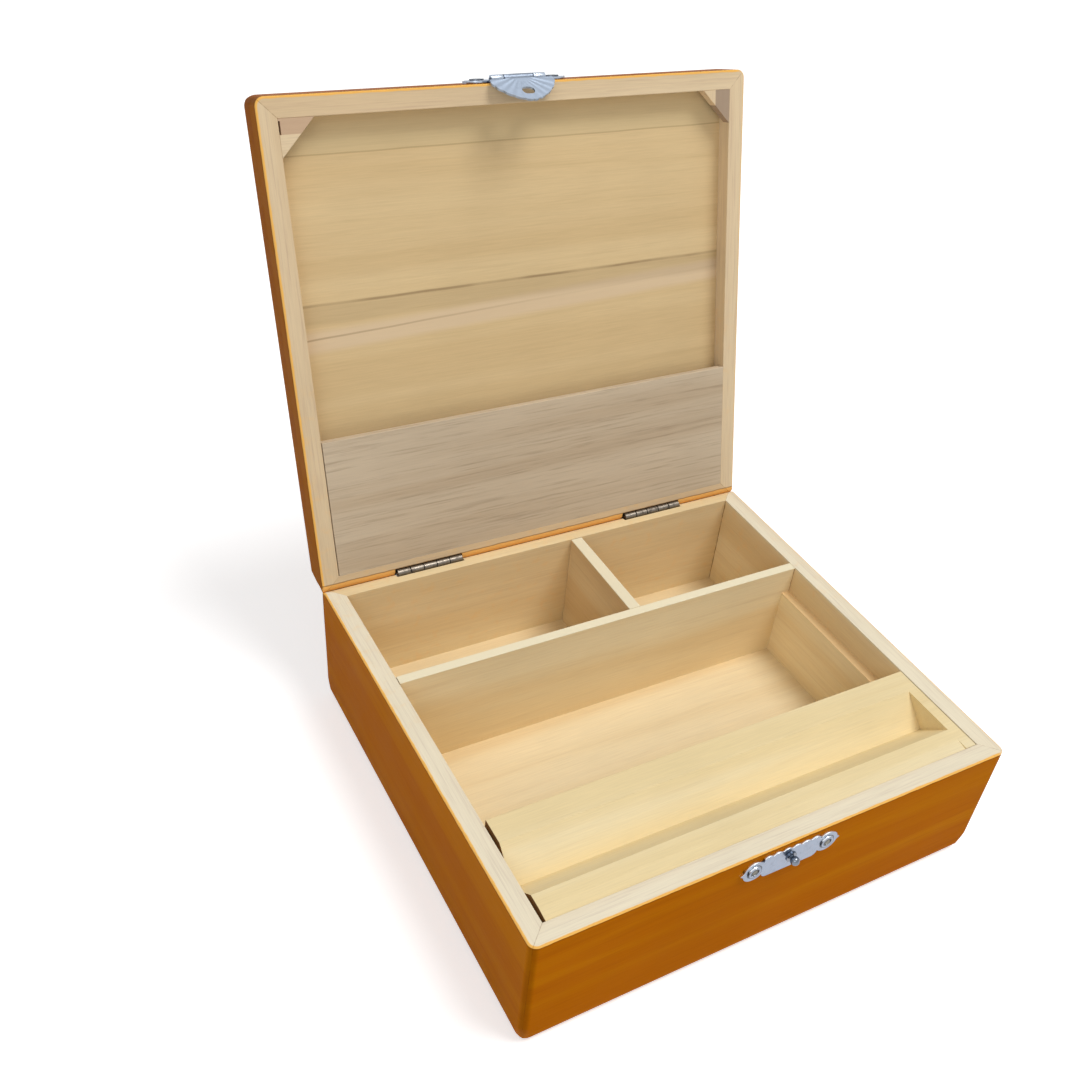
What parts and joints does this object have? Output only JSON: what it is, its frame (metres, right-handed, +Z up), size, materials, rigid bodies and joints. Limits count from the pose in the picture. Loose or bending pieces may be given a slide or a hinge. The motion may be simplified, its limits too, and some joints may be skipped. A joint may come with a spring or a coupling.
{
  "type": "hinged lid box",
  "caption": "Shallow wooden box with a hinged, framed lid standing open, divided compartments, a sliding tray with a V trough, and a clasp.",
  "frame": {"origin": "centre of the case's underside", "axes": "+X to the right and +Z up, seen from the front; +Y to the back, where the hinges are"},
  "size_m": [0.2, 0.2492, 0.2335],
  "materials": {
    "stained_wood": "amber stain, satin varnish outside, bare wood inside and on the rims",
    "bare_wood": "bare, sanded",
    "hinge_metal": "dull nickel",
    "clasp_metal": "bright nickel plate"
  },
  "bodies": {
    "case": {"case_floor": "stained_wood", "case_front_wall": "stained_wood", "case_right_wall": "stained_wood", "case_back_wall": "stained_wood", "case_left_wall": "stained_wood", "cross_divider": "bare_wood", "rear_divider": "bare_wood", "tray_ledge_left": "bare_wood", "tray_ledge_right": "bare_wood", "catch_plate": "clasp_metal", "catch_stud": "clasp_metal", "catch_nails": "clasp_metal", "hinge_case_leaf_left": "hinge_metal", "hinge_case_leaf_right": "hinge_metal", "hinge_pin_left": "hinge_metal", "hinge_pin_right": "hinge_metal", "hinge_case_nails": "hinge_metal"},
    "lid": {"lid_panel": "stained_wood", "lid_front_strip": "stained_wood", "lid_right_strip": "stained_wood", "lid_back_strip": "stained_wood", "lid_left_strip": "stained_wood", "lid_pocket_board": "bare_wood", "lid_gusset_left": "bare_wood", "lid_gusset_right": "bare_wood", "hinge_lid_leaf_left": "hinge_metal", "hinge_lid_leaf_right": "hinge_metal", "hinge_lid_nails": "hinge_metal", "hasp_plate": "clasp_metal", "hasp_pin": "clasp_metal", "hasp_nails": "clasp_metal"},
    "tongue": {"hasp_tongue": "clasp_metal"},
    "tray": {"tray": "bare_wood"}
  },
  "joints": [
    {"name": "lid_hinge", "type": "hinge", "parent": "case", "child": "lid", "pos_m": [0, 0.0899, 0.05555], "axis": [1, 0, 0], "range_deg": [0, 105.2]},
    {"name": "tongue_swing", "type": "hinge", "parent": "lid", "child": "tongue", "pos_m": [0, 0.13928, 0.23213], "axis": [1, 0, 0], "range_deg": [-57.5, 0]},
    {"name": "tray_slide", "type": "slide", "parent": "case", "child": "tray", "axis": [0, 1, 0], "range_m": [0, 0.0705]}
  ],
  "couplings": [
    {"joint": "tongue_swing", "follows": "lid_hinge", "ratio": -0.5465}
  ]
}
